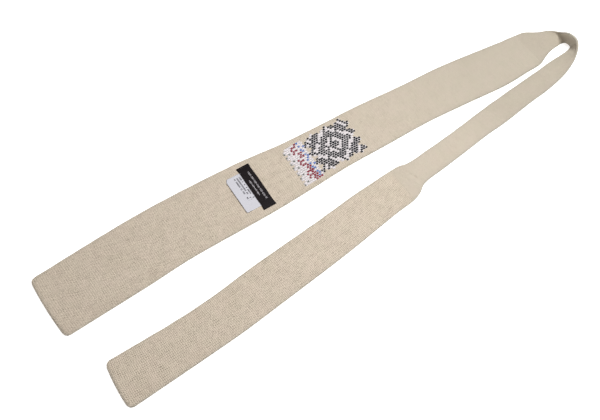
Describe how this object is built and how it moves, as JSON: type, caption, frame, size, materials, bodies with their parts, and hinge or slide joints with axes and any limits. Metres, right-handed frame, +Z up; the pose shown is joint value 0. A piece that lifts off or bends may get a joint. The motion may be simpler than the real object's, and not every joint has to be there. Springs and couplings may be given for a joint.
{
  "type": "knitted necktie",
  "caption": "Square-ended oatmeal knitted necktie, back side up and folded once at the neck, with a coloured yarn motif, a woven label and a satin care label.",
  "frame": {"origin": "middle of the object's footprint, on the surface it lies on", "axes": "+X along the front blade from its square end towards the fold at the neck, +Y from the tail blade towards the front blade, +Z up, away from the surface"},
  "size_m": [0.7068, 0.1986, 0.0269],
  "materials": {
    "oatmeal_knit": "matte knitted cotton, fine courses across the blade",
    "neck_knit": "matte knitted cotton, finer and smoother than the blades",
    "linking_yarn": "matte chain of linking loops",
    "pale_yarn": "matte knitted yarn",
    "grey_yarn": "matte knitted yarn",
    "red_yarn": "matte knitted yarn",
    "blue_yarn": "matte knitted yarn",
    "navy_yarn": "matte knitted yarn",
    "black_ribbon": "woven damask ribbon, faint sheen",
    "black_thread": "matte sewing thread",
    "white_satin": "printed satin tape, soft sheen"
  },
  "bodies": {
    "front_blade": {"front_blade": "oatmeal_knit", "front_end_linking": "linking_yarn", "front_join_linking": "linking_yarn", "motif_ground_yarn": "pale_yarn", "motif_grey_yarn": "grey_yarn", "motif_red_yarn": "red_yarn", "motif_blue_yarn": "blue_yarn", "motif_navy_yarn": "navy_yarn", "woven_label": "black_ribbon", "label_tack_outer": "black_thread", "label_tack_inner": "black_thread"},
    "neck_front": {"neck_band_front_side": "neck_knit"},
    "neck_back": {"neck_band_tail_side": "neck_knit", "back_join_linking": "linking_yarn"},
    "neck_lower": {"neck_band_lower": "neck_knit", "tail_join_linking": "linking_yarn"},
    "tail_blade": {"tail_blade": "oatmeal_knit", "tail_end_linking": "linking_yarn"},
    "care_label": {"care_label": "white_satin"}
  },
  "joints": [
    {"name": "front_join_flex", "type": "hinge", "parent": "front_blade", "child": "neck_front", "pos_m": [0.2988, 0.062, 0.0016], "axis": [0, -1, 0], "range_deg": [-120, 120]},
    {"name": "neck_fold", "type": "hinge", "parent": "neck_front", "child": "neck_back", "pos_m": [0.3538, 0.0404, 0], "axis": [0, 0, 1], "range_deg": [-2, 90]},
    {"name": "back_join_flex", "type": "hinge", "parent": "neck_back", "child": "neck_lower", "pos_m": [0.20005, 0.00165, 0.0016], "axis": [-0.3947, 0.9188, 0], "range_deg": [-120, 120]},
    {"name": "tail_join_flex", "type": "hinge", "parent": "neck_lower", "child": "tail_blade", "pos_m": [0.05255, -0.0228, 0.0016], "axis": [0.0329, -0.9995, 0], "range_deg": [-120, 120]},
    {"name": "care_label_flap", "type": "hinge", "parent": "front_blade", "child": "care_label", "pos_m": [-0.09955, 0.05975, 0.00445], "axis": [-0.0314, 0.9995, 0], "range_deg": [0, 165]}
  ]
}
